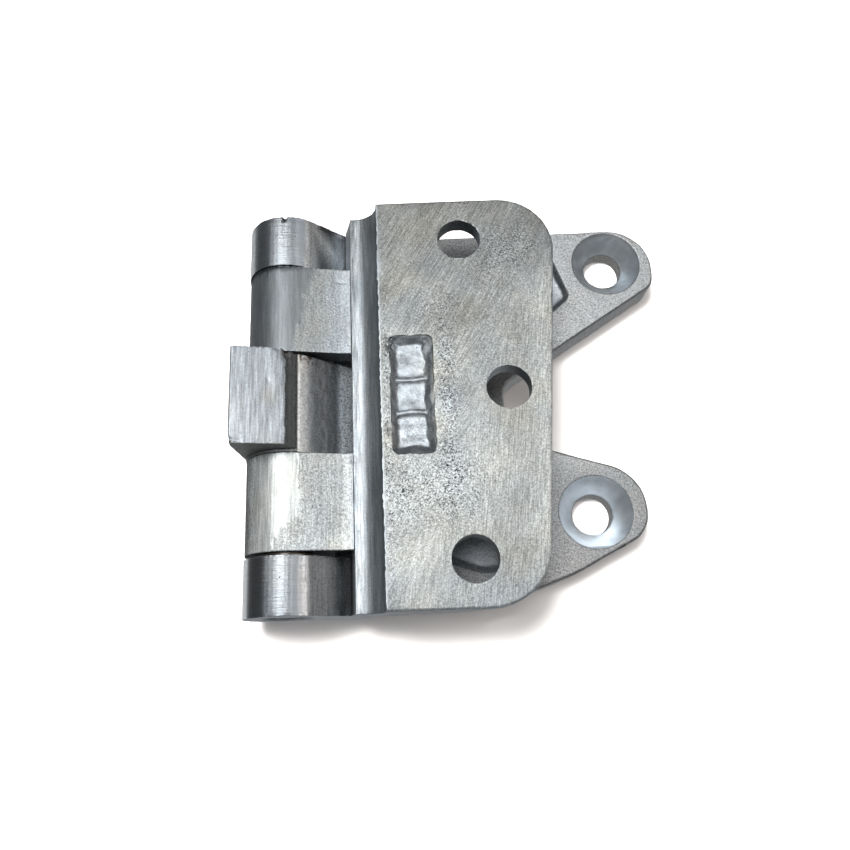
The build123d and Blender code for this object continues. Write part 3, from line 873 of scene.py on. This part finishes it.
def staked_pin(name, node):
    """The pin as a lathe form about the Y axis, with a dimple and a staked ring at each end."""
    low, high = (np.array(c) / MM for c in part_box(node))
    end_y, radius = high[1], (high[0] - low[0]) / 2
    half = [(r, end_y - drop) for r, drop in STAKED_END]
    half += [(radius - inset, end_y - drop) for inset, drop in CORNER]
    profile = half + [(r, -h) for r, h in reversed(half)]
    turn = [2 * math.pi * i / PIN_STEPS for i in range(PIN_STEPS)]
    bm = bmesh.new()
    rings = []
    for r, h in profile:
        if r == 0:
            rings.append([bm.verts.new((0, h * MM, PIN_Z * MM))])
            continue
        ring = [(r * math.cos(a) * MM, h * MM, (PIN_Z + r * math.sin(a)) * MM) for a in turn]
        rings.append([bm.verts.new(corner) for corner in ring])
    for a, b in zip(rings, rings[1:]):
        for i in range(PIN_STEPS):
            j = (i + 1) % PIN_STEPS
            corners = [a[i % len(a)], a[j % len(a)], b[j % len(b)], b[i % len(b)]]
            bm.faces.new(list(dict.fromkeys(corners)))
    bmesh.ops.recalc_face_normals(bm, faces=bm.faces)
    mesh = bpy.data.meshes.new(name)
    bm.to_mesh(mesh)
    bm.free()
    mesh.polygons.foreach_set("use_smooth", [True] * len(mesh.polygons))
    obj = bpy.data.objects.new(name, mesh)
    bpy.context.scene.collection.objects.link(obj)
    return obj


# ---------------------------------------------------------------- build

FRAME_COOL, FRAME_WARM = (0.335, 0.362, 0.386), (0.384, 0.372, 0.342)
DOOR_COOL, DOOR_WARM = (0.332, 0.364, 0.388), (0.374, 0.373, 0.338)
frame_metal = worked_casting("frame_metal", FRAME_COOL, FRAME_WARM, (62.0, 84.0))
door_metal = worked_casting("door_metal", DOOR_COOL, DOOR_WARM, (58.0, 82.0))
pin_metal = turned_metal("pin_steel", (0.55, 0.56, 0.57), (0.30, 0.31, 0.32), 0.34)
bush_metal = turned_metal("bush_bronze", (0.66, 0.47, 0.24), (0.42, 0.27, 0.12), 0.32)

casting = refined_copy("frame_leaf", "frame_leaf_casting", sculpt_frame, paint_frame, hollows)
casting.data.materials.append(frame_metal)
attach(casting, "frame")
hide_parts("frame_leaf")

plate = refined_copy("door_leaf", "door_leaf_casting", sculpt_door, paint_door)
plate.data.materials.append(door_metal)
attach(plate, "door")
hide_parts("door_leaf")

pin = staked_pin("staked_pin", "hinge_pin")
pin.data.materials.append(pin_metal)
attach(pin, "frame")
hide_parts("hinge_pin")

for node in ("upper_bush", "lower_bush"):
    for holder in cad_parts[node].material_slots:
        holder.material = bush_metal


# ---------------------------------------------------------------- stage

FLOOR_COLOUR = (0.74, 0.715, 0.695)
DOME_COLOUR = (0.9, 0.9, 0.9)
DOME_GLOW = 0.62
WHITE = (1.0, 1.0, 1.0)


def pale_material(name, colour, glow):
    """A plain matt material that may give off some light of its own."""
    m = bpy.data.materials.new(name)
    m.use_nodes = True
    shader = m.node_tree.nodes["Principled BSDF"]
    shader.inputs["Base Color"].default_value = (*colour, 1)
    shader.inputs["Roughness"].default_value = 0.9
    shader.inputs["Specular IOR Level"].default_value = 0.0
    shader.inputs["Emission Color"].default_value = (*WHITE, 1)
    shader.inputs["Emission Strength"].default_value = glow
    return m


bpy.ops.mesh.primitive_plane_add(size=6.0, location=(0.04, 0, 0))
floor = bpy.context.object
floor.name = "floor"
floor.data.materials.append(pale_material("pale_floor", FLOOR_COLOUR, 0.0))
floor.visible_glossy = False

# a pale dome around the hinge that only the camera sees
bpy.ops.mesh.primitive_uv_sphere_add(segments=64, ring_count=32, radius=2.8)
dome = bpy.context.object
dome.name = "backdrop"
dome.data.polygons.foreach_set("use_smooth", [True] * len(dome.data.polygons))
dome.data.materials.append(pale_material("pale_backdrop", DOME_COLOUR, DOME_GLOW))
for ray in ("diffuse", "glossy", "transmission", "shadow"):
    setattr(dome, "visible_" + ray, False)


def soft_light(name, tilt, distance, size, power, tint=WHITE):
    """A soft box facing the hinge, tilted from overhead by degrees towards +X and +Y."""
    aim = Vector((0.035, 0.0, 0.012))
    slope = [math.tan(math.radians(degrees)) for degrees in tilt]
    way = Vector((*slope, 1.0)).normalized()
    data = bpy.data.lights.new(name, "AREA")
    data.shape, data.energy, data.color = "RECTANGLE", power, tint
    data.size, data.size_y = size
    light = bpy.data.objects.new(name, data)
    light.location = aim + way * distance
    light.rotation_mode = "QUATERNION"
    light.rotation_quaternion = (-way).to_track_quat("-Z", "Y")
    bpy.context.scene.collection.objects.link(light)
    return light


soft_light("key", tilt=(-11.5, 13.0), distance=0.9, size=(0.46, 0.62), power=7.0)
soft_light(
    "warm_strip", tilt=(50.0, 5.0), distance=0.8, size=(0.28, 0.16), power=1.2,
    tint=(1.0, 0.9, 0.84),
)
# the wash lights only the floor, so that the floor is white around a tight shadow
wash = soft_light("floor_wash", tilt=(-15.0, 13.0), distance=0.9, size=(0.24, 0.24), power=13.0)
lit_by_wash = bpy.data.collections.new("lit_by_wash")
lit_by_wash.objects.link(floor)
wash.light_linking.receiver_collection = lit_by_wash

# grey room light by height: 0 straight below, 0.5 at the horizon, 1 overhead
LIGHT_BY_HEIGHT = [
    (0.0, 0.55), (0.40, 0.30), (0.50, 0.13), (0.62, 0.15), (0.80, 0.34), (1.0, 0.62),
]
GREEN_GAIN, BLUE_GAIN = 1.02, 1.06
world = bpy.data.worlds.new("studio")
bpy.context.scene.world = world
world.use_nodes = True
sky = world.node_tree
where = sky.nodes.new("ShaderNodeTexCoord")
height = sky.nodes.new("ShaderNodeSeparateXYZ")
span = sky.nodes.new("ShaderNodeMapRange")
fade = sky.nodes.new("ShaderNodeValToRGB")
span.inputs["From Min"].default_value = -1.0
sky.links.new(where.outputs["Generated"], height.inputs[0])
sky.links.new(height.outputs["Z"], span.inputs["Value"])
sky.links.new(span.outputs["Result"], fade.inputs["Fac"])
sky.links.new(fade.outputs["Color"], sky.nodes["Background"].inputs["Color"])
while len(fade.color_ramp.elements) < len(LIGHT_BY_HEIGHT):
    fade.color_ramp.elements.new(0.5)
for stop, (position, level) in zip(fade.color_ramp.elements, LIGHT_BY_HEIGHT):
    stop.position = position
    stop.color = (level, level * GREEN_GAIN, level * BLUE_GAIN, 1)

scene = bpy.context.scene
scene.view_settings.view_transform = "Standard"
scene.view_settings.look = "None"

# ---------------------------------------------------------------- camera

CAMERA_AT = (0.03078, -0.06206, 0.18156)
CAMERA_AZIMUTH = 4.85      # degrees that the view is turned from +Y towards +X
CAMERA_ELEVATION = -75.0   # and how far down it looks
CAMERA_UP = (0.03709, 0.96511, 0.2592)
LENS_WIDTH = 36.0
LENS_FOCUS = 29.40
LENS_SHIFT_Y = 0.0543
lens = bpy.data.cameras.new("camera")
lens.sensor_width = LENS_WIDTH
lens.lens = LENS_FOCUS
lens.shift_y = LENS_SHIFT_Y
lens.clip_start = 0.005
camera = bpy.data.objects.new("camera", lens)
scene.collection.objects.link(camera)
camera.location = CAMERA_AT
az, el = math.radians(CAMERA_AZIMUTH), math.radians(CAMERA_ELEVATION)
forward = Vector((math.sin(az) * math.cos(el), math.cos(az) * math.cos(el), math.sin(el)))
back = -forward.normalized()
right = Vector(CAMERA_UP).cross(back).normalized()
up = back.cross(right)
camera.rotation_mode = "QUATERNION"
camera.rotation_quaternion = Matrix((right, up, back)).transposed().to_quaternion()
scene.camera = camera
